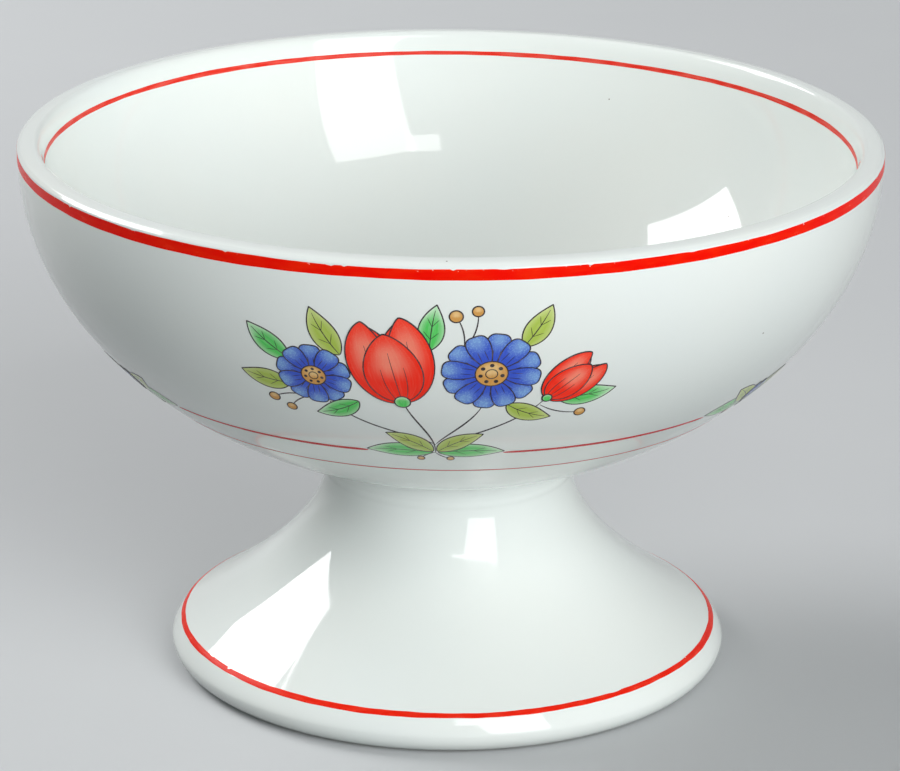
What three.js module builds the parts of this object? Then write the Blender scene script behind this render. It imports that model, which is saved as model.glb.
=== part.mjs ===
// A footed sherbet bowl in thick glazed ceramic: a lipped bowl, luted with slip to a hollow flared foot,
// with fired enamel lines round the lip, the body and the foot.
// Millimetres, +Z up. The origin is the middle of the standing ring, on the table.

import * as THREE from "three";

// Bowl, outside
const overallHeight = 64; // table to the top of the lip
const rimRadius = 50; // the bowl at its widest, just under the lip
const lipRise = 1.2; // top of the lip above the widest part
const lipRun = 1.95; // how far the lip rounds in from the outside to its top
const sideUprightLength = 25.2; // how far down the side stays upright
const undersideHeight = 25.6; // table to the level disc under the bowl
const seatRadius = 12; // radius of that disc
const undersideLevelLength = 7.6; // how far out the underside stays level

// Bowl, inside
const lipThickness = 3; // across the lip, from outside to inside
const lipInnerDrop = 2; // top of the lip down to the inner wall
const insideLean = THREE.MathUtils.degToRad(10); // lean of the inner wall below the lip
const insideLeanLength = 25; // how far down the inner wall keeps that lean
const insideFloorRun = 20; // how far out the inner floor stays level
const floorThickness = 4.4;

// Foot, outside
const neckRadius = 14.45;
const flareDrop = 3.55; // how far down the neck stays upright
const shoulderRadius = 31.1;
const shoulderHeight = 5;
const shoulderSlope = THREE.MathUtils.degToRad(32.1); // fall of the foot's top where it turns over
const flareRun = 16.8; // how far up from the shoulder the slope stays straight
const rollRun = 1.3; // how far past the shoulder the slope stays straight
const footRadius = 33;
const footWidestHeight = 3;
const rollDrop = 0.75; // how far up the foot's edge stays upright
const baseRounding = 2.7; // how far the edge rounds in to the standing ring

// Foot, underneath
const standingRingWidth = 2.6;
const footWall = 4.2;
const crownThickness = 4.4; // clay left above the hollow
const crownRise = 2.2; // height of the hollow's domed top

// Slip between the bowl and the foot
const slipThickness = 1.4;
const slipFilletReach = 2.1; // how far the fillet spreads out past the neck

// Enamel lines, measured along the surface
const enamelThickness = 0.08;
const bandUpLip = 0.57; // from the widest part up onto the lip's rounding
const bandDownSide = 0.63; // from the widest part down the side
const innerLineBelowLip = 0.3;
const innerLineWidth = 0.55;
const bodyLineHeight = 38.83;
const bodyLineWidth = 0.42;
const hairlineHeight = 35.28;
const hairlineWidth = 0.25;
const footLineBelowShoulder = 0.4; // shoulder to the upper edge of the line
const footLineWidth = 0.7;

const turnSteps = 60; // facets round the axis, the same on every piece so that touching faces agree

const at = (radius, height) => new THREE.Vector2(radius, height);

// Heights and radii that follow from the sizes above
const widestHeight = overallHeight - lipRise;
const insideRadius = rimRadius - lipThickness;
const insideTop = overallHeight - lipInnerDrop;
const insideFloorHeight = undersideHeight + floorThickness;
const pedestalTop = undersideHeight - slipThickness;
const standingRadius = footRadius - baseRounding;
const mouthRadius = standingRadius - standingRingWidth;
const hollowTop = pedestalTop - crownThickness;
const hollowNeckRadius = neckRadius - footWall;
const hollowNeckHeight = hollowTop - crownRise;

// A quarter of an ellipse from one angle to another, in the plane of radius and height.
function quarterRound(middle, across, up, fromAngle, toAngle) {
  const clockwise = toAngle < fromAngle;
  return new THREE.EllipseCurve(middle.x, middle.y, across, up, fromAngle, toAngle, clockwise);
}

// The place along a curve, as a share of its length, where a coordinate that only falls has this value.
function placeWhere(curve, coordinate, value) {
  let before = 0;
  let after = 1;
  for (let halving = 0; halving < 40; halving++) {
    const middle = (before + after) / 2;
    if (curve.getPointAt(middle)[coordinate] > value) before = middle;
    else after = middle;
  }
  return (before + after) / 2;
}

// Points in even steps between two places along a curve that runs down the piece,
// each with the direction that faces away from the axis side of the curve.
function stretch(curve, fromPlace, toPlace, steps) {
  return Array.from({ length: steps + 1 }, (_, step) => {
    const place = fromPlace + ((toPlace - fromPlace) * step) / steps;
    const along = curve.getTangentAt(place);
    return { point: curve.getPointAt(place), facing: at(-along.y, along.x) };
  });
}

const pointsOf = (places) => places.map((place) => place.point);
const backwards = (list) => [...list].reverse();

// Runs of points put end to end, without the point that each run shares with the one before.
function joined(...runs) {
  return runs.flatMap((run, index) => (index === 0 ? run : run.slice(1)));
}

// A closed outline turned about the axis, standing on its +Z end.
function turned(name, outline, material) {
  const geometry = new THREE.LatheGeometry(outline, turnSteps).rotateX(Math.PI / 2);
  const mesh = new THREE.Mesh(geometry, material);
  mesh.name = name;
  return mesh;
}

const glaze = () => new THREE.MeshStandardMaterial({ color: "#eef0ea", roughness: 0.12, metalness: 0 });
const enamel = (color) => new THREE.MeshStandardMaterial({ color, roughness: 0.3, metalness: 0 });

// Curves of the bowl, all running downwards
const lipOutside = quarterRound(at(rimRadius - lipRun, widestHeight), lipRun, lipRise, Math.PI / 2, 0);
const side = new THREE.CubicBezierCurve(
  at(rimRadius, widestHeight),
  at(rimRadius, widestHeight - sideUprightLength),
  at(seatRadius + undersideLevelLength, undersideHeight),
  at(seatRadius, undersideHeight),
);
const lipInside = new THREE.QuadraticBezierCurve(
  at(rimRadius - lipRun, overallHeight),
  at(insideRadius + lipInnerDrop * Math.tan(insideLean), overallHeight),
  at(insideRadius, insideTop),
);
const inside = new THREE.CubicBezierCurve(
  at(insideRadius, insideTop),
  at(
    insideRadius - insideLeanLength * Math.sin(insideLean),
    insideTop - insideLeanLength * Math.cos(insideLean),
  ),
  at(insideFloorRun, insideFloorHeight),
  at(0, insideFloorHeight),
);

// Where the lines and the slip meet the bowl's curves
const lipLength = lipOutside.getLength();
const sideLength = side.getLength();
const insideLength = inside.getLength();
const bandTop = 1 - bandUpLip / lipLength;
const bandLow = bandDownSide / sideLength;
const bodyLinePlace = placeWhere(side, "y", bodyLineHeight);
const bodyLineHalf = bodyLineWidth / 2 / sideLength;
const hairlinePlace = placeWhere(side, "y", hairlineHeight);
const hairlineHalf = hairlineWidth / 2 / sideLength;
const slipEdge = placeWhere(side, "x", neckRadius + slipFilletReach);
const innerLineTop = innerLineBelowLip / insideLength;
const innerLineLow = innerLineTop + innerLineWidth / insideLength;

// Stretches of the bowl's surface that carry something
const bandOnLip = stretch(lipOutside, bandTop, 1, 2);
const bandOnSide = stretch(side, 0, bandLow, 1);
const underBodyLine = stretch(side, bodyLinePlace - bodyLineHalf, bodyLinePlace + bodyLineHalf, 1);
const underHairline = stretch(side, hairlinePlace - hairlineHalf, hairlinePlace + hairlineHalf, 1);
const slipSeat = stretch(side, slipEdge, 1, 2);
const underInnerLine = stretch(inside, innerLineTop, innerLineLow, 1);

function bowl() {
  const outside = joined(
    stretch(lipOutside, 0, bandTop, 3),
    bandOnLip,
    bandOnSide,
    stretch(side, bandLow, bodyLinePlace - bodyLineHalf, 6),
    underBodyLine,
    stretch(side, bodyLinePlace + bodyLineHalf, hairlinePlace - hairlineHalf, 1),
    underHairline,
    stretch(side, hairlinePlace + hairlineHalf, slipEdge, 4),
    slipSeat,
  );
  const within = joined(
    stretch(lipInside, 0, 1, 3),
    stretch(inside, 0, innerLineTop, 1),
    underInnerLine,
    stretch(inside, innerLineLow, 1, 8),
  );
  const outline = joined(backwards(pointsOf(outside)), pointsOf(within));
  return turned("bowl", [at(0, undersideHeight), ...outline], glaze());
}

// Curves of the foot, running downwards, except the hollow's, which run up
const flareEnd = at(
  shoulderRadius - flareRun * Math.cos(shoulderSlope),
  shoulderHeight + flareRun * Math.sin(shoulderSlope),
);
const flare = new THREE.CubicBezierCurve(
  at(neckRadius, pedestalTop),
  at(neckRadius, pedestalTop - flareDrop),
  flareEnd,
  at(shoulderRadius, shoulderHeight),
);
const footRoll = new THREE.CubicBezierCurve(
  at(shoulderRadius, shoulderHeight),
  at(shoulderRadius + rollRun * Math.cos(shoulderSlope), shoulderHeight - rollRun * Math.sin(shoulderSlope)),
  at(footRadius, footWidestHeight + rollDrop),
  at(footRadius, footWidestHeight),
);
const baseRound = quarterRound(
  at(standingRadius, footWidestHeight),
  baseRounding,
  footWidestHeight,
  0,
  -Math.PI / 2,
);
const hollow = new THREE.CubicBezierCurve(
  at(mouthRadius, 0),
  at(flareEnd.x - footWall * Math.sin(shoulderSlope), flareEnd.y - footWall * Math.cos(shoulderSlope)),
  at(hollowNeckRadius, hollowNeckHeight - flareDrop),
  at(hollowNeckRadius, hollowNeckHeight),
);
const crown = quarterRound(at(0, hollowNeckHeight), hollowNeckRadius, crownRise, 0, Math.PI / 2);

const footLineTop = footLineBelowShoulder / footRoll.getLength();
const footLineLow = footLineTop + footLineWidth / footRoll.getLength();
const underFootLine = stretch(footRoll, footLineTop, footLineLow, 1);

function pedestalFoot() {
  const outside = joined(
    stretch(flare, 0, 1, 6),
    stretch(footRoll, 0, footLineTop, 2),
    underFootLine,
    stretch(footRoll, footLineLow, 1, 2),
    stretch(baseRound, 0, 1, 3),
  );
  const underneath = joined(stretch(hollow, 0, 1, 6), stretch(crown, 0, 1, 3));
  const outline = [...backwards(pointsOf(underneath)), ...backwards(pointsOf(outside))];
  return turned("pedestal_foot", [...outline, at(0, pedestalTop)], glaze());
}

// The slip fills the joint and rounds off the corner between the neck and the underside.
function slipJoint() {
  const corner = side.getPointAt(placeWhere(side, "x", neckRadius));
  const outerEdge = side.getPointAt(slipEdge);
  const fillet = new THREE.QuadraticBezierCurve(at(neckRadius, pedestalTop), corner, outerEdge);
  const edge = joined(fillet.getPoints(3), pointsOf(slipSeat));
  return turned("slip_joint", [at(0, pedestalTop), ...edge, at(0, undersideHeight)], glaze());
}

// A fired line: the surface that it lies on and the same points raised by its thickness,
// outwards on the outside of a piece and towards the axis on the inside.
function enamelLine(name, places, color, onInside = false) {
  const height = onInside ? -enamelThickness : enamelThickness;
  const lower = pointsOf(places);
  const raised = places.map(({ point, facing }) => point.clone().addScaledVector(facing, height));
  const [down, up] = onInside ? [raised, backwards(lower)] : [lower, backwards(raised)];
  return turned(name, [...down, ...up, down[0]], enamel(color));
}

const sherbetBowl = new THREE.Group();
sherbetBowl.name = "footed_sherbet_bowl";
sherbetBowl.add(
  bowl(),
  pedestalFoot(),
  slipJoint(),
  enamelLine("rim_band", joined(bandOnLip, bandOnSide), "#d9260c"),
  enamelLine("inner_rim_line", underInnerLine, "#d4392c", true),
  enamelLine("body_line", underBodyLine, "#c23a38"),
  enamelLine("body_hairline", underHairline, "#c05a52"),
  enamelLine("foot_line", underFootLine, "#d92a12"),
);

export default sherbetBowl;
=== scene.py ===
# Footed sherbet bowl in thick white glazed china, with red lines round it and printed flower sprays.
# Shapes are worked out in millimetres and go into the meshes in metres.
import math

import bpy
import numpy as np
from mathutils import Matrix, Vector


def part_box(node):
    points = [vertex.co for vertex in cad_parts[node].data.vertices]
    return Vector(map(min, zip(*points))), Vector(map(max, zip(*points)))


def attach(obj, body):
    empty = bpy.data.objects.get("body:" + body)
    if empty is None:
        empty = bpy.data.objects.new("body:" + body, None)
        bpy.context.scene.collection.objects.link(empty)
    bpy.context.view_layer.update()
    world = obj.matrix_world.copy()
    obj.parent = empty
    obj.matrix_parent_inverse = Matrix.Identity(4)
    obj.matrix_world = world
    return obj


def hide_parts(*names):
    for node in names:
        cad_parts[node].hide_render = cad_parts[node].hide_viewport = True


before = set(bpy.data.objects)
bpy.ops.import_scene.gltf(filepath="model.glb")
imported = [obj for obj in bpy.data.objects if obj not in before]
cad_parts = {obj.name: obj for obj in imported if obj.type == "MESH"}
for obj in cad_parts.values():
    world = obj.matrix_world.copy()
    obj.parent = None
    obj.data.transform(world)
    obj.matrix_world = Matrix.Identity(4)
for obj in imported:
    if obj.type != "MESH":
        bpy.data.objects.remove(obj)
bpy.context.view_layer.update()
scene = bpy.context.scene
mm = 0.001
fullTurn = 2 * math.pi
tiny = 1e-6
print("frame:", len(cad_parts), "nodes")


# lowest and highest corner of a solid, in millimetres
def solidBox(node):
    low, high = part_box(node)
    return np.array(low) / mm, np.array(high) / mm


# sRGB values of 0 to 255 as the linear colour that a shader takes, by the standard's formula
def colour(red, green, blue):
    share = np.array([red, green, blue]) / 255
    linear = np.where(share <= 0.04045, share / 12.92, ((share + 0.055) / 1.055) ** 2.4)
    return (*(float(value) for value in linear), 1.0)


class Wire:
    # a socket in a node tree; arithmetic on it adds Math nodes
    def __init__(self, tree, socket=None):
        self.tree = tree
        self.socket = socket

    # any node: its type, its settings, which are set first, and the values or wires of its sockets
    def node(self, kind, settings=None, sockets=None, out=0):
        made = self.tree.nodes.new("ShaderNode" + kind)
        for key, value in (settings or {}).items():
            setattr(made, key, value)
        for key, value in (sockets or {}).items():
            if isinstance(value, Wire):
                self.tree.links.new(value.socket, made.inputs[key])
            else:
                made.inputs[key].default_value = value
        return Wire(self.tree, made.outputs[out]) if made.outputs else None

    def maths(self, operation, first, second=0.0):
        return self.node("Math", {"operation": operation}, {0: first, 1: second})

    def __add__(self, other):
        return self.maths("ADD", self, other)

    def __radd__(self, other):
        return self.maths("ADD", other, self)

    def __sub__(self, other):
        return self.maths("SUBTRACT", self, other)

    def __rsub__(self, other):
        return self.maths("SUBTRACT", other, self)

    def __mul__(self, other):
        return self.maths("MULTIPLY", self, other)

    def __rmul__(self, other):
        return self.maths("MULTIPLY", other, self)

    def __abs__(self):
        return self.maths("ABSOLUTE", self)

    def atMostOne(self):
        return self.maths("MINIMUM", self, 1.0)

    def isAbove(self, limit):
        return self.maths("GREATER_THAN", self, limit)

    # 0 below low, 1 above high, and a smooth rise between them
    def rise(self, low, high):
        sockets = {0: self, 1: low, 2: high, 3: 0.0, 4: 1.0}
        return self.node("MapRange", {"interpolation_type": "SMOOTHSTEP"}, sockets)

    # a colour between two others, with this value as the share of the second
    def between(self, first, second):
        return self.node("Mix", {"data_type": "RGBA"}, {0: self, 6: first, 7: second}, 2)

    # soft noise of 0 to 1 in patches of about this many millimetres, on object coordinates
    def patches(self, size, detail=2.0, roughness=0.5):
        place = self.node("TexCoord", out="Object")
        sockets = {"Vector": place, "Scale": 1 / (size * mm), "Detail": detail, "Roughness": roughness}
        return self.node("TexNoise", None, sockets)

    # soft noise of 0 to 1 over two values
    def streaks(self, first, second, detail):
        place = self.node("CombineXYZ", None, {0: first, 1: second})
        return self.node("TexNoise", None, {"Vector": place, "Scale": 1.0, "Detail": detail})

    # the piece's own paint map: across it and along it, each from 0 to 1
    def paintMap(self):
        place = self.node("UVMap", {"uv_map": "paint"})
        across = self.node("SeparateXYZ", None, {0: place}, 0)
        along = self.node("SeparateXYZ", None, {0: place}, 1)
        return across, along


def newMaterial(name):
    made = bpy.data.materials.new(name)
    made.use_nodes = True
    made.node_tree.nodes.clear()
    return made, Wire(made.node_tree)


# a Principled shader as the surface of a material
def closeMaterial(start, base, roughness, others):
    sockets = {"Base Color": base, "Roughness": roughness, **others}
    shader = start.node("BsdfPrincipled", None, sockets)
    start.node("OutputMaterial", None, {"Surface": shader})


# flat vectors turned a quarter clockwise: (x, y) becomes (y, -x)
def toRight(vectors):
    return np.stack([vectors[..., 1], -vectors[..., 0]], -1)


# Bezier curve: each control point is weighted by its Bernstein polynomial of t
def curve(controls, count):
    t = np.linspace(0, 1, count)[:, None]
    last = len(controls) - 1
    power = np.arange(last + 1)
    binomial = np.array([math.comb(last, k) for k in power])
    return (binomial * t**power * (1 - t) ** (last - power)) @ np.array(controls, float)


# part of an ellipse: middle + (across cos a, up sin a)
def arc(middle, across, up, fromDegrees, toDegrees, count):
    a = np.radians(np.linspace(fromDegrees, toDegrees, count))
    return np.array(middle) + np.stack([across * np.cos(a), up * np.sin(a)], -1)


# a profile in (radius, height) with its length along it and the way it faces, which is
# the tangent turned to the right; a point that two runs share is kept from the first
def profileOf(*runs):
    points, facing = np.zeros((0, 2)), np.zeros((0, 2))
    for run in runs:
        faces = toRight(np.gradient(run, axis=0, edge_order=2 if len(run) > 2 else 1))
        faces /= np.linalg.norm(faces, axis=1, keepdims=True)
        shared = len(points) and np.allclose(points[-1], run[0], atol=tiny)
        points = np.vstack([points, run[int(shared):]])
        facing = np.vstack([facing, faces[int(shared):]])
    gaps = np.linalg.norm(np.diff(points, axis=0), axis=1)
    length = np.concatenate([[0], np.cumsum(gaps)])
    return {"points": points, "facing": facing, "length": length}


# length along a profile where it passes a height; the heights only rise or only fall
def lengthAt(profile, height):
    heights, lengths = profile["points"][:, 1], profile["length"]
    if heights[-1] < heights[0]:
        heights, lengths = heights[::-1], lengths[::-1]
    return float(np.interp(height, heights, lengths))


def radiusAt(profile, length):
    return float(np.interp(length, profile["length"], profile["points"][:, 0]))


# a place on a turned surface: the profile looked up by length and lifted along its facing,
# then carried round to x = r sin a, y = -r cos a
def onSurface(profile, azimuth, length, lift):
    radius, height, out, up = (
        np.interp(length, profile["length"], column)
        for column in (*profile["points"].T, *profile["facing"].T)
    )
    size = np.hypot(out, up)
    out, up = out / size, up / size
    radius, height = radius + lift * out, height + lift * up
    right, back = np.sin(azimuth), -np.cos(azimuth)
    place = np.stack(np.broadcast_arrays(radius * right, radius * back, height), -1)
    facing = np.stack(np.broadcast_arrays(out * right, out * back, up), -1)
    return place, facing


# a smooth mesh from points in millimetres, with its own normals and, for paint, a map of its corners
def fillMesh(name, points, faces, facing, paint=None):
    mesh = bpy.data.meshes.new(name)
    mesh.from_pydata((points * mm).tolist(), [], faces)
    mesh.shade_smooth()
    if paint is not None:
        mesh.uv_layers.new(name="paint").data.foreach_set("uv", paint.ravel())
    mesh.normals_split_custom_set_from_vertices(facing.tolist())
    mesh.update()
    return mesh


# a profile from axis to axis, turned: rings of points joined by quads, with one point at each pole
def turnedMesh(name, profile, around):
    azimuth = np.arange(around) * fullTurn / around
    rings = profile["length"][1:-1]
    place, facing = onSurface(profile, azimuth[None, :], rings[:, None], 0.0)
    poles, poleFacing = onSurface(profile, np.zeros(2), profile["length"][[0, -1]], 0.0)
    index = np.arange(len(rings) * around).reshape(len(rings), around)
    after = np.roll(index, -1, axis=1)
    quads = np.stack([index[:-1], after[:-1], after[1:], index[1:]], -1).reshape(-1, 4)
    first = np.full(around, index.size)
    starts = np.stack([first, after[0], index[0]], -1)
    ends = np.stack([index[-1], after[-1], first + 1], -1)
    faces = quads.tolist() + starts.tolist() + ends.tolist()
    points = np.vstack([place.reshape(-1, 3), poles])
    return fillMesh(name, points, faces, np.vstack([facing.reshape(-1, 3), poleFacing]))


# walls down from the open edges of a sheet, where an edge is open if no face runs along it the other way
def edgeWalls(faces, paint, below):
    start, end = faces.ravel(), np.roll(faces, -1, axis=1).ravel()
    spot, spotAfter = paint.reshape(-1, 2), np.roll(paint, -1, axis=1).reshape(-1, 2)
    most = faces.max() + 1
    isOpen = ~np.isin(start * most + end, end * most + start)
    start, end = start[isOpen], end[isOpen]
    walls = np.stack([end, start, start + below, end + below], -1)
    return walls, np.stack([spotAfter, spot, spot, spotAfter], 1)[isOpen]


# grids in one mesh: rows run up and columns to the right, seen from outside;
# each grid is (points, facing, paint, closed, depth): a closed one joins its last column to its first,
# and one with a depth gets an underside that far below it and walls round it
def gridMesh(name, grids):
    points, facing, faces, paint, count = [], [], [], [], 0
    for place, normal, colourPlace, closed, depth in grids:
        rows, columns = place.shape[:2]
        index = count + np.arange(rows * columns).reshape(rows, columns)
        after, colourAfter = np.roll(index, -1, axis=1), np.roll(colourPlace, -1, axis=1)
        colourAfter[:, -1] = colourPlace[:, -1] + colourPlace[:, 1] - colourPlace[:, 0]
        shown = slice(None) if closed else slice(0, columns - 1)
        corners = [(index[:-1], colourPlace[:-1]), (after[:-1], colourAfter[:-1])]
        corners += [(after[1:], colourAfter[1:]), (index[1:], colourPlace[1:])]
        top = np.stack([corner[:, shown] for corner, _ in corners], -1).reshape(-1, 4)
        topPaint = np.stack([spot[:, shown] for _, spot in corners], -2).reshape(-1, 4, 2)
        points.append(place.reshape(-1, 3))
        facing.append(normal.reshape(-1, 3))
        faces.append(top)
        paint.append(topPaint)
        count += index.size
        if depth:
            walls, wallPaint = edgeWalls(top, topPaint, index.size)
            points.append((place - depth * normal).reshape(-1, 3))
            facing.append(-normal.reshape(-1, 3))
            faces += [top[:, ::-1] + index.size, walls]
            paint += [topPaint[:, ::-1], wallPaint]
            count += index.size
    faces = np.vstack(faces).tolist()
    return fillMesh(name, np.vstack(points), faces, np.vstack(facing), np.vstack(paint))


# a finished piece on the root body, with its material and the solids that it replaces
def addPiece(name, mesh, material, slot, *nodes):
    made = bpy.data.objects.new(name, mesh)
    scene.collection.objects.link(made)
    mesh.materials.append(material)
    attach(made, "root")
    if nodes:
        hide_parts(*nodes)
    print("piece:", name, len(mesh.polygons), "faces")


# Glaze
glazeLook = {
    "cool": colour(234, 241, 239),
    "warm": colour(239, 242, 236),
    "patchSize": 30.0,
    "speckColour": colour(128, 120, 108),
    "speckRadius": 0.14,
    "speckCore": 0.5,  # share of that radius with the full colour
    "speckSpacing": 5.0,
    "speckShare": 0.35,  # share of the places that really hold a speck
    "roughness": 0.045,
    "smudgeSize": 9.0,
    "smudgeRise": (0.55, 0.8),  # noise at which a smudge starts and is full
    "smudgeRoughness": 0.05,
    "waveSize": 14.0,
    "waveHeight": 0.007,
    "peelSize": 1.6,
    "peelHeight": 0.0005,
    "ior": 1.52,
    "bisque": colour(214, 207, 192),  # bare clay on the standing ring
    "bisqueHeight": 0.22,
    "bisqueFull": 0.7,  # share of that height that is fully bare
    "bisqueGrain": 0.3,  # share of that height by which its edge wanders
    "bisqueGrainSize": 0.5,
    "bisqueRoughness": 0.75,
}


# white glaze: two near whites in soft patches, rare pinholes, faint smudges and a slow wave in the gloss;
# a foot also has bare clay up to a low height
def glazeMaterial(name, hasBareRing=False):
    look = glazeLook
    made, start = newMaterial(name)
    white = start.patches(look["patchSize"]).between(look["cool"], look["warm"])
    place = start.node("TexCoord", out="Object")
    spacing = {"Vector": place, "Scale": 1 / (look["speckSpacing"] * mm)}
    reach = look["speckRadius"] / look["speckSpacing"]
    near = 1 - start.node("TexVoronoi", None, spacing).rise(reach * look["speckCore"], reach)
    chance = start.node("SeparateColor", None, {0: start.node("TexVoronoi", None, spacing, 1)})
    speck = near * chance.isAbove(1 - look["speckShare"])
    base = speck.between(white, look["speckColour"])
    smudge = start.patches(look["smudgeSize"], detail=4.0).rise(*look["smudgeRise"])
    roughness = look["roughness"] + smudge * look["smudgeRoughness"]
    if hasBareRing:
        ringTop = look["bisqueHeight"] * mm
        height = start.node("SeparateXYZ", None, {0: place}, 2)
        grain = start.patches(look["bisqueGrainSize"], detail=3.0) * (look["bisqueGrain"] * ringTop)
        bare = 1 - (height + grain).rise(look["bisqueFull"] * ringTop, ringTop)
        base = bare.between(base, look["bisque"])
        roughness = roughness + bare * (look["bisqueRoughness"] - look["roughness"])
    wave = start.patches(look["waveSize"], detail=1.0) * look["waveHeight"]
    peel = start.patches(look["peelSize"], detail=1.0) * look["peelHeight"]
    normal = start.node("Bump", None, {"Strength": 1.0, "Distance": mm, "Height": wave + peel})
    closeMaterial(start, base, roughness, {"Normal": normal, "IOR": look["ior"]})
    return made


# Bowl
bowlShape = {
    "seatRadius": 12.0,  # flat underside over the foot
    "undersideLevelLength": 7.6,  # how long the side's curve is drawn level at the seat
    "sideUprightLength": 25.2,  # and upright under the lip
    "lipRise": 1.2,  # top of the lip above the height where the side stands upright
    "lipRun": 1.95,  # from the outside in to the top of the lip
    "edgeDrop": 0.58,  # top of the lip above its outer edge
    "edgeRounding": 0.13,
    "bevelTilt": math.radians(45),
    "bevelLength": 0.3,
    "lipThickness": 3.0,
    "lipInnerDrop": 2.0,
    "insideLean": math.radians(10),
    "insideLeanLength": 25.0,
    "insideFloorRun": 20.0,
    "floorThickness": 4.4,
    "around": 480,
    "sideRows": 110,
    "wallRows": 54,
    "lipRows": 12,
    "edgeRows": 8,
    "straightRows": 3,
}


# the bowl in two profiles of Bezier curves: underside, side and lip, running up, and the inside of the lip
# and the wall, running down to the middle of the floor; the lip goes from an upright over a small edge
# and a bevel to its rounded top
def bowlProfiles():
    shape = bowlShape
    low, high = solidBox("bowl")
    rim, top, underside = high[0], high[2], low[2]
    seat, straight = shape["seatRadius"], shape["straightRows"]
    widest, lipTop = top - shape["lipRise"], rim - shape["lipRun"]
    underneath = curve([(0, underside), (seat, underside)], straight)
    levelEnd = (seat + shape["undersideLevelLength"], underside)
    uprightStart = (rim, widest - shape["sideUprightLength"])
    side = curve([(seat, underside), levelEnd, uprightStart, (rim, widest)], shape["sideRows"])
    inwards = np.array([-math.sin(shape["bevelTilt"]), math.cos(shape["bevelTilt"])])
    edge = np.array([rim, top - shape["edgeDrop"]])
    underEdge = edge - (0, shape["edgeRounding"])
    overEdge = edge + shape["edgeRounding"] * inwards
    bevelEnd = overEdge + shape["bevelLength"] * inwards
    bevelPeak = bevelEnd + (top - bevelEnd[1]) / inwards[1] * inwards
    lipOutside = [
        curve([(rim, widest), underEdge], straight),
        curve([underEdge, edge, overEdge], shape["edgeRows"]),
        curve([overEdge, bevelEnd], straight),
        curve([bevelEnd, bevelPeak, (lipTop, top)], shape["lipRows"]),
    ]
    innerRadius, innerTop = rim - shape["lipThickness"], top - shape["lipInnerDrop"]
    lean, leanLength = shape["insideLean"], shape["insideLeanLength"]
    lipCorner = innerRadius + shape["lipInnerDrop"] * math.tan(lean)
    lipInside = curve([(lipTop, top), (lipCorner, top), (innerRadius, innerTop)], shape["lipRows"])
    leanEnd = (innerRadius - leanLength * math.sin(lean), innerTop - leanLength * math.cos(lean))
    floor = underside + shape["floorThickness"]
    floorStart = (shape["insideFloorRun"], floor)
    wall = curve([(innerRadius, innerTop), leanEnd, floorStart, (0, floor)], shape["wallRows"])
    return [underneath, side, *lipOutside], [lipInside, wall]


outsideRuns, insideRuns = bowlProfiles()
bowlOutside = profileOf(*outsideRuns)
bowlInside = profileOf(*insideRuns)
whiteGlaze = glazeMaterial("white glaze")
bowlMesh = turnedMesh("bowl", profileOf(*outsideRuns, *insideRuns), bowlShape["around"])
addPiece("china_bowl", bowlMesh, whiteGlaze, "white_glaze", "bowl")

# Foot, and the slip fillet between its neck and the bowl
footShape = {
    "flareDrop": 3.55,  # how long the flare's curve is drawn upright at the neck
    "flareRun": 16.8,  # and along the slope at the shoulder
    "shoulderRadius": 31.1,
    "shoulderHeight": 5.0,
    "shoulderSlope": math.radians(32.1),
    "edgeRun": 0.9,  # how far the slope goes on past the shoulder to the edge
    "edgeRounding": 0.3,
    "edgeWallLean": math.radians(36),  # how far the short wall under the edge leans
    "widestHeight": 2.4,
    "baseRounding": 2.7,
    "standingRingWidth": 2.6,
    "wallThickness": 4.2,
    "crownThickness": 4.4,
    "crownRise": 2.2,
    "ringCorner": 0.7,  # how far the hollow's edge is rounded off
    "beadBelowTop": 0.9,  # a slight swelling where the slip was wiped off
    "beadHalfHeight": 0.55,
    "beadHeight": 0.07,
    "around": 288,
    "flareRows": 80,
    "edgeWallRows": 16,
    "edgeRows": 10,
    "slopeRows": 4,
    "baseRows": 18,
    "crownRows": 20,
    "hollowRows": 70,
    "cornerRows": 8,
    "ringRows": 4,
    "coverRows": 3,
}
slipShape = {
    "filletReach": 2.1,
    "inset": 0.05,
    "tuck": 0.06,
    "around": 288,
    "filletRows": 16,
    "floorRows": 3,
}


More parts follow.
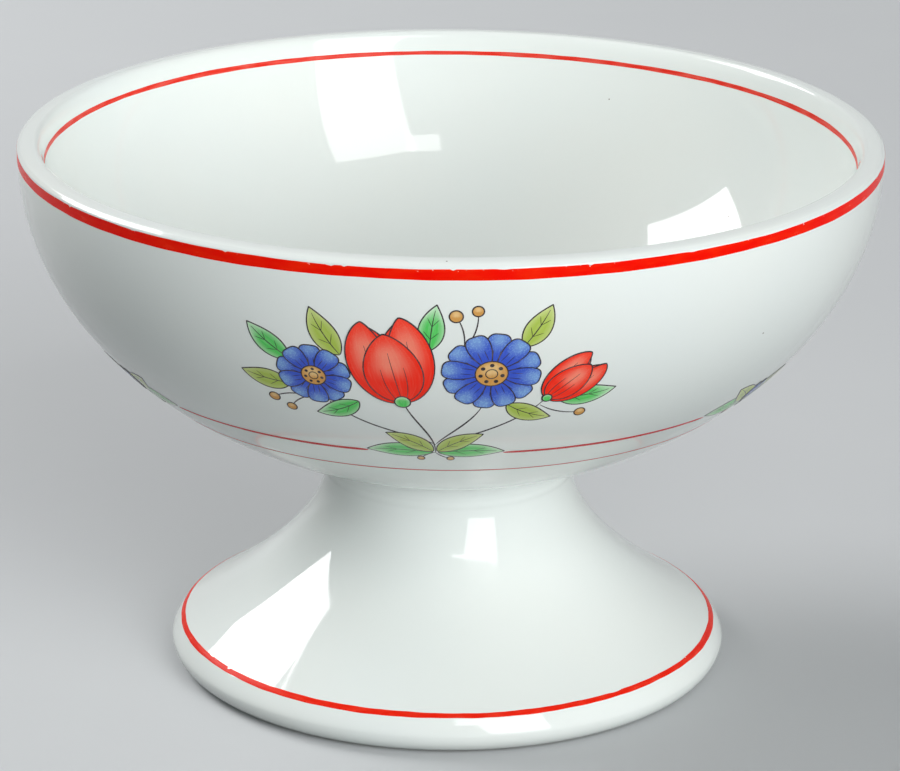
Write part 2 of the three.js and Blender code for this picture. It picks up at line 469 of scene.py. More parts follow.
# the foot in two profiles: the hollow, running out from its crown to the standing ring, and the outside,
# running up from the ring over a short wall and an edge to the shoulder, the flare and the neck
def footProfiles():
    shape = footShape
    radius, top = solidBox("pedestal_foot")[1][[0, 2]]
    neck = solidBox("slip_joint")[1][0] - slipShape["filletReach"]
    slope, rounding = shape["shoulderSlope"], shape["edgeRounding"]
    downSlope = np.array([math.cos(slope), -math.sin(slope)])
    shoulder = np.array([shape["shoulderRadius"], shape["shoulderHeight"]])
    flareEnd = shoulder - shape["flareRun"] * downSlope
    flare = curve([shoulder, flareEnd, (neck, top - shape["flareDrop"]), (neck, top)], shape["flareRows"])
    offBead = np.clip((flare[:, 1] - top + shape["beadBelowTop"]) / shape["beadHalfHeight"], -1, 1)
    flare[:, 0] += shape["beadHeight"] * np.cos(offBead * math.pi / 2) ** 2
    edge = shoulder + shape["edgeRun"] * downSlope
    wallTop = np.array([radius, edge[1] - (radius - edge[0]) / math.tan(shape["edgeWallLean"])])
    underEdge = edge + rounding * (wallTop - edge) / np.linalg.norm(wallTop - edge)
    overEdge = edge - rounding * downSlope
    widest, standing = shape["widestHeight"], radius - shape["baseRounding"]
    outside = [
        arc((standing, widest), shape["baseRounding"], widest, -90, 0, shape["baseRows"]),
        curve([(radius, widest), wallTop, underEdge], shape["edgeWallRows"]),
        curve([underEdge, edge, overEdge], shape["edgeRows"]),
        curve([overEdge, shoulder], shape["slopeRows"]),
        flare,
    ]
    innerNeck = neck - shape["wallThickness"]
    springing = top - shape["crownThickness"] - shape["crownRise"]
    crown = arc((0, springing), innerNeck, shape["crownRise"], 90, 0, shape["crownRows"])
    uprightEnd = (innerNeck, springing - shape["flareDrop"])
    underFlare = flareEnd + shape["wallThickness"] * toRight(downSlope)
    mouth = standing - shape["standingRingWidth"]
    hollow = curve([(innerNeck, springing), uprightEnd, underFlare, (mouth, 0)], shape["hollowRows"])
    hollow = hollow[np.linalg.norm(hollow - hollow[-1], axis=1) > shape["ringCorner"]]
    corner = curve([hollow[-1], (mouth, 0), (mouth + shape["ringCorner"], 0)], shape["cornerRows"])
    ring = curve([corner[-1], (standing, 0)], shape["ringRows"])
    return [crown, hollow, corner, ring], outside


hollowRuns, outerRuns = footProfiles()
footOutside = profileOf(*outerRuns)
neckTop = outerRuns[-1][-1]
footCover = curve([neckTop, (0, neckTop[1])], footShape["coverRows"])
footMesh = turnedMesh("foot", profileOf(*hollowRuns, *outerRuns, footCover), footShape["around"])
footGlaze = glazeMaterial("white glaze with a bare ring", hasBareRing=True)
addPiece("china_foot", footMesh, footGlaze, "white_glaze", "pedestal_foot")


# the fillet leaves the neck upright and meets the underside along its own slope;
# its top is tucked a little into the bowl and follows the underside back to the axis
def slipProfile():
    edgeRadius = solidBox("slip_joint")[1][0]
    underside = np.vstack(outsideRuns[:2]) + (0, slipShape["tuck"])
    under = underside[underside[:, 0] < edgeRadius]
    edge = np.array([edgeRadius, np.interp(edgeRadius, *underside.T)])
    slope = (edge[1] - under[-1, 1]) / (edge[0] - under[-1, 0])
    corner = (neckTop[0], edge[1] - (edge[0] - neckTop[0]) * slope)
    fillet = curve([neckTop, corner, edge], slipShape["filletRows"])
    floorEnd = (neckTop[0] - slipShape["inset"], neckTop[1])
    floor = curve([(0, neckTop[1]), floorEnd], slipShape["floorRows"])
    return profileOf(floor, fillet, np.vstack([edge, under[::-1]]))


slipMesh = turnedMesh("slip", slipProfile(), slipShape["around"])
addPiece("slip_fillet", slipMesh, whiteGlaze, "white_glaze", "slip_joint")

# Painted lines
rootDepth = 0.01  # how far painted layers reach into the glaze
lineLayer = {
    "lift": 0.012,
    "around": 900,  # columns in a full turn
    "fewest": 24,  # least columns in an arc
    "endWidth": 0.25,  # share of the width that is left at the end of an arc
    "edgeWaves": (3, 7, 13, 29, 61),  # waves in a full turn of a line's edges
    "driftWaves": (1, 2, 3),  # and of its middle
    "waveShares": (1.0, 0.8, 0.6, 0.45, 0.35),
    "waveSum": 2.2,  # divides the waves' sum, which then lies within about -1 to 1
}
enamelLook = {
    "bare": colour(236, 238, 232),  # glaze that shows where the enamel has gone
    "strokesAlong": 90.0,  # brush marks in a full turn
    "strokesAcross": 1.4,
    "thinRise": (0.35, 0.75),  # brush noise at which the red starts to thin and is thinnest
    "wearSize": 0.35,
    "wearGrain": 0.6,  # how rough the noise of the wear is
    "chipRise": (0.82, 0.86),  # noise at which a chip starts and is full, less the line's own wear
    "upperEdge": (0.55, 1.0),  # shares of the width between which wear rises
    "upperEdgeWear": 0.10,
    "roughness": 0.22,
    "brushRoughness": 0.08,
    "chipPolish": 0.1,  # how much smoother a chip is
    "specular": 0.06,
}
rimBand = {
    "name": "rim band",
    "full": colour(246, 14, 0),
    "thin": colour(252, 50, 8),
    "thinShare": 0.5,  # how far the thinnest strokes go to the thin red
    "wear": 0.06,
    "width": 1.2,
    "rows": 7,
    "wobble": 0.05,  # of the edges, as a share of the width
    "drift": 0.03,  # of the middle
    "seed": 11,
    "notches": [
        # azimuth in degrees, depth, half-width
        (-56.4, 0.16, 0.16),
        (-43.0, 0.07, 0.5),
        (-28.5, 0.14, 0.2),
        (-14.5, 0.13, 0.3),
        (-12.9, 0.16, 0.14),
        (0.4, 0.15, 0.18),
        (6.5, 0.06, 0.6),
        (17.2, 0.14, 0.2),
        (31.0, 0.07, 0.5),
        (74.0, 0.1, 0.4),
        (118.0, 0.14, 0.25),
        (151.0, 0.08, 0.6),
        (-95.0, 0.12, 0.3),
        (-141.0, 0.14, 0.2),
    ],
}
innerLine = {
    "name": "inner line",
    "full": colour(230, 50, 36),
    "thin": colour(238, 106, 92),
    "thinShare": 0.7,
    "wear": 0.04,
    "width": 0.55,
    "rows": 5,
    "wobble": 0.09,
    "drift": 0.03,
    "seed": 21,
}
bodyLine = {
    "name": "body line",
    "full": colour(204, 44, 48),
    "thin": colour(220, 92, 88),
    "thinShare": 0.7,
    "wear": 0.03,
    "width": 0.52,
    "rows": 4,
    "wobble": 0.08,
    "drift": 0.03,
    "seed": 31,
    "taper": 1.2,  # length over which an end thins
    "halfGap": 7.4,  # from the middle of a print to the line's end
}
hairLine = {
    "name": "hairline",
    "full": colour(204, 80, 76),
    "thin": colour(222, 136, 128),
    "thinShare": 0.8,
    "wear": 0.04,
    "width": 0.32,
    "rows": 4,
    "wobble": 0.12,
    "drift": 0.03,
    "seed": 41,
}
footLine = {
    "name": "foot line",
    "full": colour(238, 34, 14),
    "thin": colour(246, 72, 48),
    "thinShare": 0.5,
    "wear": 0.05,
    "width": 0.7,
    "rows": 5,
    "wobble": 0.1,
    "drift": 0.05,
    "seed": 51,
    "notches": [(-53.5, 0.3, 0.2), (-61.0, 0.1, 0.5), (38.0, 0.1, 0.8), (112.0, 0.14, 0.4)],
}


# a painted line: the red varies along the brush stroke, and wear shows the glaze, most at the upper edge
def enamelMaterial(line):
    look = enamelLook
    made, start = newMaterial(line["name"] + " red")
    across, along = start.paintMap()
    brush = start.streaks(along * look["strokesAlong"], across * look["strokesAcross"], detail=3.0)
    body = (brush.rise(*look["thinRise"]) * line["thinShare"]).between(line["full"], line["thin"])
    edge = across.rise(*look["upperEdge"]) * look["upperEdgeWear"]
    wear = start.patches(look["wearSize"], detail=3.0, roughness=look["wearGrain"]) + edge
    chips = wear.rise(*(limit - line["wear"] for limit in look["chipRise"]))
    base = chips.between(body, look["bare"])
    roughness = look["roughness"] + brush * look["brushRoughness"] - chips * look["chipPolish"]
    closeMaterial(start, base, roughness, {"Specular IOR Level": look["specular"]})
    return made


# smooth wander of a hand-held brush round the turn: a few sine waves with seeded phases
def wander(azimuth, seed, waves):
    phases = np.random.default_rng(seed).uniform(0, fullTurn, len(waves))
    shares = lineLayer["waveShares"]
    return sum(s * np.sin(w * azimuth + p) for s, w, p in zip(shares, waves, phases)) / lineLayer["waveSum"]


# dents in an edge: at each azimuth a notch of depth times exp(-(distance / half-width)^4)
def notches(azimuth, radius, places):
    dent = np.zeros_like(azimuth)
    for degrees, depth, half in places:
        away = np.angle(np.exp(1j * (azimuth - math.radians(degrees)))) * radius
        dent += depth * np.exp(-((away / half) ** 4))
    return dent


# a line round a turned surface, as a grid of azimuth by share of its width:
# length = middle + width (share - 1/2) + wander, less the notches at its upper edge;
# an arc thins towards its ends by the square root of the distance from them
def lineGrid(profile, middle, line, fromDegrees=-180.0, toDegrees=180.0):
    layer, seed = lineLayer, line["seed"]
    closed = toDegrees - fromDegrees >= 360
    count = max(layer["fewest"], int(layer["around"] * (toDegrees - fromDegrees) / 360))
    azimuth = np.radians(np.linspace(fromDegrees, toDegrees, count, endpoint=not closed))
    share = np.linspace(0, 1, line["rows"])[:, None]
    radius = radiusAt(profile, middle)
    low = -0.5 + line["wobble"] * wander(azimuth, seed, layer["edgeWaves"])
    high = 0.5 + line["wobble"] * wander(azimuth, seed + 1, layer["edgeWaves"])
    high = high - notches(azimuth, radius, line.get("notches", [])) / line["width"]
    if not closed:
        end = np.minimum(azimuth - azimuth[0], azimuth[-1] - azimuth) * radius / line["taper"]
        thin = layer["endWidth"] + (1 - layer["endWidth"]) * np.sqrt(np.clip(end, 0, 1))
        low, high = low * thin, high * thin
    drift = line["drift"] * wander(azimuth, seed + 2, layer["driftWaves"])
    length = middle + drift + line["width"] * (low + (high - low) * share)
    place, facing = onSurface(profile, azimuth + 0 * share, length, layer["lift"])
    paint = np.stack(np.broadcast_arrays(share, azimuth / fullTurn + 0.5), -1)
    return place, facing, paint, closed, layer["lift"] + rootDepth


def middleHeight(node):
    low, high = solidBox(node)
    return (low[2] + high[2]) / 2


# a painted line in place of its solid
def addLine(piece, line, grids, slot, node):
    addPiece(piece, gridMesh(line["name"], grids), enamelMaterial(line), slot, node)


# the band hangs from the lower side of the lip's edge
underEdge = solidBox("bowl")[1][2] - bowlShape["edgeDrop"] - bowlShape["edgeRounding"]
bandMiddle = lengthAt(bowlOutside, underEdge) - rimBand["width"] / 2
bandGrid = lineGrid(bowlOutside, bandMiddle, rimBand)
addLine("rim_band_paint", rimBand, [bandGrid], "fired_enamel", "rim_band")

innerGrid = lineGrid(bowlInside, lengthAt(bowlInside, middleHeight("inner_rim_line")), innerLine)
addLine("inner_rim_line_paint", innerLine, [innerGrid], "worn_enamel", "inner_rim_line")

# sprays and sprigs stand round the bowl in turn, and the body line stops at each
sprayAzimuths = [-2.1, 117.9, -122.1]
sprigAzimuths = [57.9, 177.9, -62.1]
bodyMiddle = lengthAt(bowlOutside, middleHeight("body_line"))
stops = sorted(sprayAzimuths + sprigAzimuths)
halfGap = math.degrees(bodyLine["halfGap"] / radiusAt(bowlOutside, bodyMiddle))
arcs = zip(stops, stops[1:] + [stops[0] + 360])
bodyGrids = [lineGrid(bowlOutside, bodyMiddle, bodyLine, a + halfGap, b - halfGap) for a, b in arcs]
addLine("body_line_paint", bodyLine, bodyGrids, "worn_enamel", "body_line")

hairGrid = lineGrid(bowlOutside, lengthAt(bowlOutside, middleHeight("body_hairline")), hairLine)
addLine("body_hairline_paint", hairLine, [hairGrid], "worn_enamel", "body_hairline")

footGrid = lineGrid(footOutside, lengthAt(footOutside, middleHeight("foot_line")), footLine)
addLine("foot_line_paint", footLine, [footGrid], "fired_enamel", "foot_line")
print("painted lines done")

# Flower prints, drawn flat in millimetres, right and up, and then laid on the bowl.
# A stroke is (paint, grid, paint map, level, closed); a higher level lies over a lower one.
printLayer = {
    "lift": 0.016,
    "levelStep": 0.008,
    "inkAbove": 0.5,  # levels by which ink lies over its own colour
    "inkWidth": 0.14,
    "hairEnd": 0.35,  # least width of a hair, as a share of its full width
    "hairFrom": 0.1,  # where on half a sine wave its width starts
    "bluntEnd": 0.02,  # least width of a blade, as a share of its full width
    "bladeColumns": 11,
    "discRows": 9,
}


# unit vectors at headings in radians, clockwise from up: (sin a, cos a)
def pointing(heading):
    return np.stack([np.sin(heading), np.cos(heading)], -1)


# points round a circle: middle + radius (sin a, cos a)
def circle(middle, radius, count):
    return np.array(middle) + radius * pointing(np.linspace(0, fullTurn, count, endpoint=False))


# a blade: a spine that leaves its foot at a heading, clockwise from up, and turns steadily by its bend;
# its half-width at share s is s^rise (1 - s)^fall over that product's largest value
def blade(form, foot, heading, length, width, bend=0.0):
    rise, fall = form["rise"], form["fall"]
    s = (1 - np.cos(np.linspace(0, math.pi, form["rows"]))) / 2
    ahead = pointing(np.radians(heading + bend * s))
    steps = (ahead[1:] + ahead[:-1]) / 2 * np.diff(s)[:, None] * length
    spine = np.array(foot) + np.vstack([[0, 0], np.cumsum(steps, axis=0)])
    peak = (rise / (rise + fall)) ** rise * (fall / (rise + fall)) ** fall
    half = width / 2 * np.maximum(s**rise * (1 - s) ** fall / peak, printLayer["bluntEnd"])
    t = np.linspace(-1, 1, printLayer["bladeColumns"])
    grid = spine[:, None] + (half[:, None] * t)[..., None] * toRight(ahead)[:, None]
    paint = np.stack(np.broadcast_arrays((t[None, :] + 1) / 2, s[:, None]), -1)
    return grid, paint


# a disc: a square grid bent round by x sqrt(1 - y^2/2), y sqrt(1 - x^2/2)
def disc(middle, radius, count=printLayer["discRows"]):
    y, x = np.meshgrid(np.linspace(-1, 1, count), np.linspace(-1, 1, count), indexing="ij")
    bent = np.stack([x * np.sqrt(1 - y * y / 2), y * np.sqrt(1 - x * x / 2)], -1)
    return np.array(middle) + radius * bent, (np.stack([x, y], -1) + 1) / 2


# a ribbon: the points half its width to the right and to the left of a path, square to it
def ribbon(path, width, closed=False):
    around = np.vstack([path[-1:], path, path[:1]]) if closed else path
    along = np.gradient(around, axis=0)
    along = along[1:-1] if closed else along
    along /= np.maximum(np.linalg.norm(along, axis=1, keepdims=True), tiny)
    right = toRight(along) * np.broadcast_to(width, len(path))[:, None] / 2
    grid = np.stack([path + right, path - right])
    s = np.linspace(0, 1, len(path))
    paint = np.stack(np.broadcast_arrays(np.linspace(0, 1, 2)[:, None], s[None, :]), -1)
    return grid, paint


def inkLine(path, width, level, closed=False):
    return ("ink", *ribbon(path, width, closed), level + printLayer["inkAbove"], closed)


# a line that swells and thins out at both ends, as half a sine wave
def inkHair(path, width, level):
    end, start = printLayer["hairEnd"], printLayer["hairFrom"]
    taper = end + (1 - end) * np.sin(np.linspace(start, math.pi - start, len(path)))
    return inkLine(path, width * taper, level)


# a coloured blade with its outline: up the left edge, over the tip and down the right edge
def outlined(form, paint, level, *shape):
    grid, spot = blade(form, *shape)
    edge = np.vstack([grid[:, 0], grid[-2::-1, -1]])
    return [(paint, grid, spot, level, False), inkLine(edge, printLayer["inkWidth"], level)], grid


leafForm = {
    "rise": 0.75,
    "fall": 1.0,
    "rows": 28,
    "midribRows": (1, 22),
    "midribWidth": 0.12,
    "veinRows": (9, 14),  # where a pair of veins leaves the midrib
    "veinClimb": 3,  # rows from there to the veins' tips
    "veinColumns": (1, -2),  # columns that the tips lie towards
    "veinReach": 0.72,  # share of the way to them
    "veinPoints": 5,
    "veinWidth": 0.08,
}


# a leaf: an outlined blade with a midrib and pairs of short veins
def leaf(right, up, heading, length, width, bend, paint, level=1.0):
    form = leafForm
    strokes, grid = outlined(form, paint, level, (right, up), heading, length, width, bend)
    spine = grid[:, grid.shape[1] // 2]
    strokes.append(inkHair(spine[slice(*form["midribRows"])], form["midribWidth"], level))
    for row in form["veinRows"]:
        tipRow, reach = row + form["veinClimb"], form["veinReach"]
        for column in form["veinColumns"]:
            tip = reach * grid[tipRow, column] + (1 - reach) * spine[tipRow]
            vein = np.linspace(spine[row], tip, form["veinPoints"])
            strokes.append(inkHair(vein, form["veinWidth"], level))
    return strokes


# lengths here are shares of the daisy's radius, apart from the widths of lines
daisyForm = {
    "rise": 0.75,
    "fall": 0.3,
    "rows": 22,
    "petalFoot": 0.16,
    "petalLength": 0.84,
    "petalFill": 0.92,  # share of the room between its neighbours that a petal fills
    "veinFrom": 0.36,
    "veinTo": 0.62,
    "veinOffsets": (-0.07, 0.07),
    "veinPoints": 5,
    "veinWidth": 0.09,
    "heart": 0.33,
    "eye": 0.12,
    "eyeLineWidth": 0.12,
    "ringPoints": 28,
    "dots": 7,
    "dotRing": 0.225,
    "dotRadius": 0.045,
    "dotRows": 5,
}


# a daisy: petals, every other one on top, round a stippled heart
def daisy(right, up, radius, petals, turn, level):
    form = daisyForm
    middle = np.array([right, up])
    width = form["petalFill"] * 2 * radius * math.sin(math.pi / petals)
    strokes = []
    for k in range(petals):
        heading, above = turn + 360 * k / petals, level + k % 2
        out = pointing(math.radians(heading))
        foot = middle + form["petalFoot"] * radius * out
        petal, _ = outlined(form, "blue", above, foot, heading, form["petalLength"] * radius, width)
        strokes += petal
        for offset in form["veinOffsets"]:
            ends = np.outer((form["veinFrom"], form["veinTo"]), out) + offset * toRight(out)
            vein = np.linspace(*(middle + radius * ends), form["veinPoints"])
            strokes.append(inkHair(vein, form["veinWidth"], above))
    heart, heartLevel = form["heart"] * radius, level + 2
    strokes.append(("ochre", *disc(middle, heart), heartLevel, False))
    rings = [(heart, printLayer["inkWidth"]), (form["eye"] * radius, form["eyeLineWidth"])]
    for ring, lineWidth in rings:
        strokes.append(inkLine(circle(middle, ring, form["ringPoints"]), lineWidth, heartLevel, True))
    for spot in circle(middle, form["dotRing"] * radius, form["dots"]):
        dot = disc(spot, form["dotRadius"] * radius, form["dotRows"])
        strokes.append(("ink", *dot, heartLevel + printLayer["inkAbove"], False))
    return strokes


tulipForm = {
    "rise": 0.55,
    "fall": 0.7,
    "rows": 28,
    "petals": [
        # from the back: turn off the heading, length and width as shares of the tulip's, bend
        (-8, 0.97, 0.46, -5),
        (8, 0.97, 0.46, 5),
        (-30, 1.03, 0.5, 40),
        (30, 1.03, 0.5, -40),
        (0, 0.84, 0.6, 0),
    ],
    "veins": [(3, 15), (5, 19), (7, 15)],  # column of the petal and the row where the vein ends
    "veinStart": 3,
    "veinWidth": 0.09,
    "calyx": 0.085,  # its radius as a share of the tulip's width
    "calyxLineWidth": 0.16,
    "ringPoints": 20,
}


# a tulip seen from the side: two petals behind, one curling out on each side and one in front
def tulip(right, up, heading, length, width, level, paint="red"):
    form = tulipForm
    foot = (right, up)
    strokes = []
    for number, (turn, reach, breadth, bend) in enumerate(form["petals"]):
        above = level + number
        shape = (foot, heading + turn, reach * length, breadth * width, bend)
        petal, grid = outlined(form, paint, above, *shape)
        strokes += petal
        for column, last in form["veins"]:
            strokes.append(inkHair(grid[form["veinStart"]:last, column], form["veinWidth"], above))
    calyx, calyxLevel = form["calyx"] * width, level + len(form["petals"])
    strokes.append(("green", *disc(foot, calyx), calyxLevel, False))
    ring = circle(foot, calyx, form["ringPoints"])
    strokes.append(inkLine(ring, form["calyxLineWidth"], calyxLevel, True))
    return strokes


berryForm = {
    "level": 1.0,
    "lineWidth": 0.15,
    "ringPoints": 24,
    "stalkBow": 0.18,  # how far the stalk's curve is pulled aside, as a share of its length
    "stalkWidth": 0.16,
    "stalkPoints": 12,
}
stemForm = {"level": 0.0, "width": 0.22, "points": 26}


# a berry on a thin stalk
def berry(right, up, radius, fromPoint):
    form = berryForm
    middle, start = np.array([right, up]), np.array(fromPoint)
    bow = (middle + start) / 2 + form["stalkBow"] * toRight(middle - start)
    stalk = curve([start, bow, middle], form["stalkPoints"])
    ring = circle(middle, radius, form["ringPoints"])
    return [
        inkHair(stalk, form["stalkWidth"], stemForm["level"]),
        ("ochre", *disc(middle, radius), form["level"], False),
        inkLine(ring, form["lineWidth"], form["level"], True),
    ]


sprayDrawing = {
    "middleHeight": 50.0,  # height on the bowl of the drawing's zero
    "leaves": [
        # right, up, heading, length, width, bend, paint, and the level if it isn't 1
        (-16.0, -1.9, -92, 5.8, 2.9, 26, "olive"),
        (-15.4, 1.8, -56, 6.0, 2.8, 20, "green"),
        (-9.7, 3.0, -36, 6.4, 2.9, 18, "olive"),
        (-0.3, 4.2, 2, 5.6, 2.7, 12, "green"),
        (9.4, 4.6, 36, 5.6, 2.7, -14, "olive"),
        (13.8, -3.0, 98, 6.8, 3.0, -28, "green"),
        (8.2, -3.8, 132, 6.0, 2.7, -32, "olive"),
        (-8.4, -3.8, -132, 6.0, 2.7, 32, "green"),
    ],
    # right, up, radius, petals, turn, level
    "daisies": [(6.2, 1.0, 5.3, 12, 8, 2), (-13.0, -0.3, 4.2, 10, 0, 2)],
    # right, up, heading, length, width, level
    "tulips": [(-3.4, -3.4, -10, 11.4, 10.5, 5), (12.6, -3.0, 44, 7.4, 6.6, 4)],
    "berries": [
        # right, up, radius, start of the stalk
        (2.4, 8.4, 0.7, (3.2, 4.4)),
        (4.6, 9.0, 0.6, (3.4, 4.6)),
        (-18.6, -4.6, 0.65, (-14.6, -3.6)),
        (-16.8, -6.0, 0.6, (-14.2, -3.8)),
        (17.0, -6.0, 0.65, (12.0, -4.2)),
    ],
    "stems": [
        [(-3.4, -3.4), (-2.6, -6.4), (-0.8, -8.8), (0.2, -11.0), (0.0, -13.8)],
        [(5.4, -4.1), (4.4, -7.0), (1.4, -9.4), (0.2, -11.6)],
        [(-11.8, -4.2), (-8.6, -8.6), (-3.0, -9.2), (0.1, -11.8)],
        [(12.6, -3.0), (9.4, -8.0), (3.4, -9.6), (0.2, -12.2)],
    ],
    "sprigUp": -13.8,
}
sprigDrawing = {
    "leaves": [
        (-0.4, 0.0, -78, 8.7, 3.3, -22, "green"),
        (0.4, 0.0, 78, 8.7, 3.3, 22, "green"),
        (-0.3, 0.3, -42, 7.0, 2.9, -24, "olive", 2.0),
        (0.3, 0.3, 42, 7.0, 2.9, 24, "olive", 2.0),
    ],
    "berries": [(-2.0, -1.7, 0.5, (0.0, 0.0)), (2.0, -1.7, 0.5, (0.0, 0.0))],
    "bud": (0.0, 0.2, 0, 3.8, 3.4, 3.0, "blue"),
}


# a sprig of leaves and berries, which stands under each spray, and alone with a bud
def sprigStrokes(up, hasBud):
    strokes = []
    for right, rise, *rest in sprigDrawing["leaves"]:
        strokes += leaf(right, rise + up, *rest)
    for right, rise, radius, start in sprigDrawing["berries"]:
        strokes += berry(right, rise + up, radius, (start[0], start[1] + up))
    if hasBud:
        right, rise, *rest = sprigDrawing["bud"]
        strokes += tulip(right, rise + up, *rest)
    return strokes


# a spray: stems, then leaves, berries and flowers over them, and a sprig at the foot
def sprayStrokes():
    strokes = []
    for points in sprayDrawing["stems"]:
        strokes.append(inkHair(curve(points, stemForm["points"]), stemForm["width"], stemForm["level"]))
    kinds = {"leaves": leaf, "berries": berry, "daisies": daisy, "tulips": tulip}
    for kind, draw in kinds.items():
        for values in sprayDrawing[kind]:
            strokes += draw(*values)
    return strokes + sprigStrokes(sprayDrawing["sprigUp"], False)


# petals and hearts are palest in a blob, given by where along them it starts, is full, and fades again;
# leaves are palest along their edges
printLook = {
    "red": {
        "deep": colour(255, 38, 2),
        "pale": colour(255, 178, 150),
        "blob": (0.30, 0.62, 0.70, 0.98),
        "blobShare": 0.52,
        "tipShare": 0.06,
        "streakShare": 0.10,
        "grainShare": 0.06,
    },
    "blue": {
        "deep": colour(54, 84, 204),
        "pale": colour(140, 182, 228),
        "blob": (0.40, 0.80, 0.92, 1.0),
        "blobShare": 0.45,
        "tipShare": 0.30,
        "streakShare": 0.12,
        "grainShare": 0.40,
    },
    "ochre": {
        "deep": colour(214, 156, 80),
        "pale": colour(240, 206, 146),
        "blob": (0.35, 0.60, 0.80, 1.0),
        "blobShare": 0.7,
        "tipShare": 0.0,
        "streakShare": 0.2,
        "grainShare": 0.1,
    },
    "green": {
        "deep": colour(84, 206, 94),
        "pale": colour(222, 244, 218),
        "edgeShare": 0.38,
        "tipShare": 0.70,
        "streakShare": 0.14,
        "grainShare": 0.08,
    },
    "olive": {
        "deep": colour(174, 198, 82),
        "pale": colour(222, 230, 164),
        "edgeShare": 0.38,
        "tipShare": 0.55,
        "streakShare": 0.14,
        "grainShare": 0.08,
    },
}
# each pair says where a share starts to rise and is full
printShade = {
    "blobSides": (0.1, 0.95),
    "edgeRise": (0.35, 1.0),
    "tipRise": (0.55, 1.0),
    "streakRise": (0.45, 0.75),
    "streaksAcross": 22.0,
    "streaksAlong": 3.0,
    "grainSize": 0.17,
    "grainRise": (0.50, 0.64),
    "grainAlong": (0.3, 0.9),
    "roughness": 0.09,
    "streakRoughness": 0.04,
    "specular": 0.25,  # the print lies a little duller than the glaze
}
inkLook = {
    "dark": colour(54, 48, 52),
    "faded": colour(104, 96, 96),
    "fadeSize": 0.8,
    "fadeRise": (0.45, 0.8),
    "roughness": 0.10,
    "smudgeSize": 2.0,
    "smudgeRoughness": 0.05,
}
printNames = {
    "red": "print_red_petals",
    "blue": "print_blue_petals",
    "ochre": "print_ochre_hearts",
    "green": "print_green_leaves",
    "olive": "print_olive_leaves",
    "ink": "print_ink_outlines",
}


# printed colour: a deep tone with a pale one laid in by shares, each a smooth rise over the paint map:
# a soft blob on the middle line or the outer edges, the tip, fine streaks and the grain of the print
def printMaterial(name, look):
    shade = printShade
    made, start = newMaterial(name)
    across, along = start.paintMap()
    offMiddle = abs(across - 0.5) * 2.0
    if "blob" in look:
        low, lowFull, highFull, high = look["blob"]
        onMiddle = 1 - offMiddle.rise(*shade["blobSides"])
        pale = along.rise(low, lowFull) * (1 - along.rise(highFull, high)) * onMiddle * look["blobShare"]
    else:
        pale = offMiddle.rise(*shade["edgeRise"]) * look["edgeShare"]
    streak = start.streaks(across * shade["streaksAcross"], along * shade["streaksAlong"], detail=2.0)
    grain = start.patches(shade["grainSize"], detail=1.0).rise(*shade["grainRise"])
    pale = pale + along.rise(*shade["tipRise"]) * look["tipShare"]
    pale = pale + streak.rise(*shade["streakRise"]) * look["streakShare"]
    pale = pale + grain * along.rise(*shade["grainAlong"]) * look["grainShare"]
    base = pale.atMostOne().between(look["deep"], look["pale"])
    roughness = shade["roughness"] + streak * shade["streakRoughness"]
    closeMaterial(start, base, roughness, {"Specular IOR Level": shade["specular"]})
    return made


# outline ink: dark, thinner here and there
def inkMaterial(name):
    look = inkLook
    made, start = newMaterial(name)
    fade = start.patches(look["fadeSize"], detail=3.0).rise(*look["fadeRise"])
    base = fade.between(look["dark"], look["faded"])
    roughness = look["roughness"] + start.patches(look["smudgeSize"]) * look["smudgeRoughness"]
    closeMaterial(start, base, roughness, {"Specular IOR Level": printShade["specular"]})
    return made


sprayLength = lengthAt(bowlOutside, sprayDrawing["middleHeight"])
sprayRadius = radiusAt(bowlOutside, sprayLength)


# lays a stroke on the bowl: right becomes azimuth at the drawing's middle radius, up becomes length
def layOnBowl(grid, spot, level, closed, degrees):
    azimuth = math.radians(degrees) + grid[..., 0] / sprayRadius
    lift = printLayer["lift"] + printLayer["levelStep"] * level
    place, facing = onSurface(bowlOutside, azimuth, sprayLength + grid[..., 1], lift)
    return place, facing, spot, closed, lift + rootDepth


printPaints = {paint: printMaterial("print " + paint, look) for paint, look in printLook.items()}
printPaints["ink"] = inkMaterial("print ink")
printGrids = {paint: [] for paint in printPaints}
drawings = [(sprayStrokes(), sprayAzimuths), (sprigStrokes(sprayDrawing["sprigUp"], True), sprigAzimuths)]
for strokes, azimuths in drawings:
    for degrees in azimuths:
        for paint, *stroke in strokes:
            printGrids[paint].append(layOnBowl(*stroke, degrees))
for paint, grids in printGrids.items():
    addPiece(printNames[paint], gridMesh(printNames[paint], grids), printPaints[paint], "fired_enamel")
print("flower prints done")

# Floor: pale to the eye and in the gloss, and darker to the light that it throws back;
# far from the bowl it fades into the pale backdrop
floorLook = {
    "halfSize": 3000.0,
    "pointsAcross": 9,
    "pale": colour(212, 214, 215),
    "darker": colour(206, 208, 210),
    "patchSize": 60.0,
    "thrownBack": colour(118, 122, 123),
    "roughness": 0.85,
    "fadeFrom": 240.0,
    "fadeTo": 900.0,
}
backdrop = colour(204, 207, 209)
black = colour(0, 0, 0)


# 1 for rays that show the surroundings: straight to the camera, in a gloss or through glass
def seenRays(start):
    kinds = ("Camera", "Glossy", "Transmission")
    camera, gloss, through = (start.node("LightPath", out=f"Is {kind} Ray") for kind in kinds)
    return (camera + gloss + through).atMostOne()


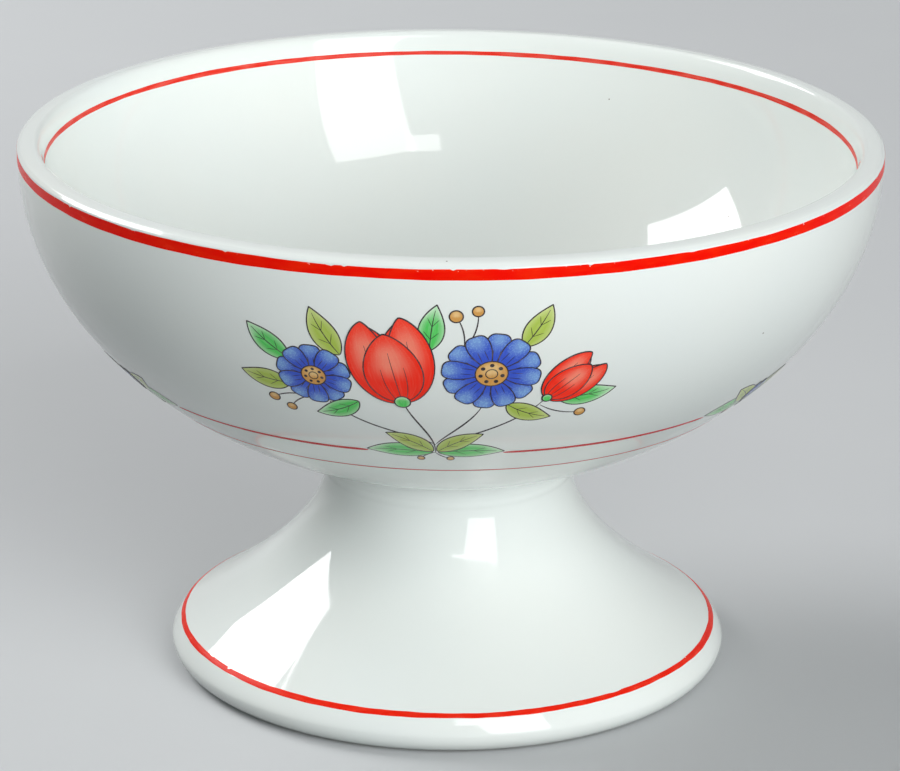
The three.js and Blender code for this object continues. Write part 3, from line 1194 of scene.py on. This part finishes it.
# a level square at height 0
def makeFloor():
    look = floorLook
    made, start = newMaterial("pale floor")
    shown = start.patches(look["patchSize"], detail=4.0).between(look["pale"], look["darker"])
    seen = seenRays(start)
    place = start.node("TexCoord", out="Object")
    away = start.node("VectorMath", {"operation": "LENGTH"}, {0: place}, "Value")
    far = away.rise(look["fadeFrom"] * mm, look["fadeTo"] * mm) * seen
    base = far.between(seen.between(look["thrownBack"], shown), black)
    glow = far.between(black, backdrop)
    closeMaterial(start, base, look["roughness"], {"Emission Color": glow, "Emission Strength": 1.0})
    line = np.linspace(-look["halfSize"], look["halfSize"], look["pointsAcross"])
    y, x = np.meshgrid(line, line, indexing="ij")
    points = np.stack([x, y, np.zeros_like(x)], -1)
    facing = np.broadcast_to([0.0, 0.0, 1.0], points.shape)
    mesh = gridMesh("floor", [(points, facing, points[..., :2] / look["halfSize"], False, 0.0)])
    mesh.materials.append(made)
    floor = bpy.data.objects.new("floor", mesh)
    scene.collection.objects.link(floor)


# Light: a pale room with a soft glow low on the right, a window behind on the left,
# and one in front on the right with a small pane beside it
lightLook = {
    "roomColour": (0.95, 0.985, 1.0, 1.0),
    "roomStrength": 0.21,
    "glowFrom": (30.0, 3.0),  # azimuth from the camera's side, elevation
    "glowSpread": math.radians(32),
    "glowStrength": 5.0,
    "aimHeight": 40.0,  # height on the bowl's axis that the windows face
    "windows": [
        # azimuth, elevation, distance, width, height, brightness
        (-121.5, 38.0, 900.0, 490.0, 400.0, 8.6),
        (29.5, 26.0, 900.0, 390.0, 660.0, 4.5),
        (10.0, 42.5, 900.0, 140.0, 110.0, 4.5),
    ],
}


# unit vector to an azimuth and an elevation in degrees
def towards(azimuth, elevation):
    a, e = math.radians(azimuth), math.radians(elevation)
    return Vector((math.sin(a) * math.cos(e), -math.cos(a) * math.cos(e), math.sin(e)))


# the room's light, with a glow that rises smoothly as a ray turns to its side,
# and the pale backdrop for the rays that show the surroundings
def makeRoom():
    look = lightLook
    world = bpy.data.worlds.new("room")
    world.use_nodes = True
    world.node_tree.nodes.clear()
    start = Wire(world.node_tree)
    rays = {0: start.node("TexCoord", out="Generated"), 1: towards(*look["glowFrom"])}
    turn = start.node("VectorMath", {"operation": "DOT_PRODUCT"}, rays, "Value")
    glow = turn.rise(math.cos(look["glowSpread"]), 1.0) * look["glowStrength"]
    room = {"Color": look["roomColour"], "Strength": look["roomStrength"] + glow}
    surround = {
        0: seenRays(start),
        1: start.node("Background", None, room),
        2: start.node("Background", None, {"Color": backdrop, "Strength": 1.0}),
    }
    start.node("OutputWorld", None, {"Surface": start.node("MixShader", None, surround)})
    scene.world = world


# a window stands at its distance and faces the bowl, and its power is brightness times pi times its area
def makeWindow(name, azimuth, elevation, distance, width, height, brightness):
    lamp = bpy.data.lights.new(name, "AREA")
    lamp.shape = "RECTANGLE"
    lamp.size, lamp.size_y = width * mm, height * mm
    lamp.energy = brightness * math.pi * width * height * mm * mm
    away = towards(azimuth, elevation)
    window = bpy.data.objects.new(name, lamp)
    window.location = away * distance * mm + Vector((0, 0, lightLook["aimHeight"] * mm))
    window.rotation_mode = "QUATERNION"
    window.rotation_quaternion = (-away).to_track_quat("-Z", "Y")
    scene.collection.objects.link(window)


# Camera at the photograph's viewing angle
cameraLook = {
    "place": (0.1, -465.15, 194.353),
    "pitchDown": math.radians(19.113),
    "roll": math.radians(0.435),
    "focalPixels": 4170.0,
    "frameWidth": 900,
    "sensorWidth": 36.0,
    "nearest": 10.0,
    "farthest": 50000.0,
}


def makeCamera():
    look = cameraLook
    data = bpy.data.cameras.new("camera")
    data.sensor_width = look["sensorWidth"]
    data.lens = look["focalPixels"] * look["sensorWidth"] / look["frameWidth"]
    data.clip_start, data.clip_end = look["nearest"] * mm, look["farthest"] * mm
    camera = bpy.data.objects.new("camera", data)
    upright = math.pi / 2 - look["pitchDown"]
    turnUp = Matrix.Rotation(upright, 4, "X") @ Matrix.Rotation(look["roll"], 4, "Z")
    camera.matrix_world = Matrix.Translation(Vector(look["place"]) * mm) @ turnUp
    scene.collection.objects.link(camera)
    scene.camera = camera


makeFloor()
makeRoom()
for number, values in enumerate(lightLook["windows"]):
    makeWindow(f"window {number}", *values)
makeCamera()
scene.view_settings.view_transform = "Standard"
print("floor, light and camera done")
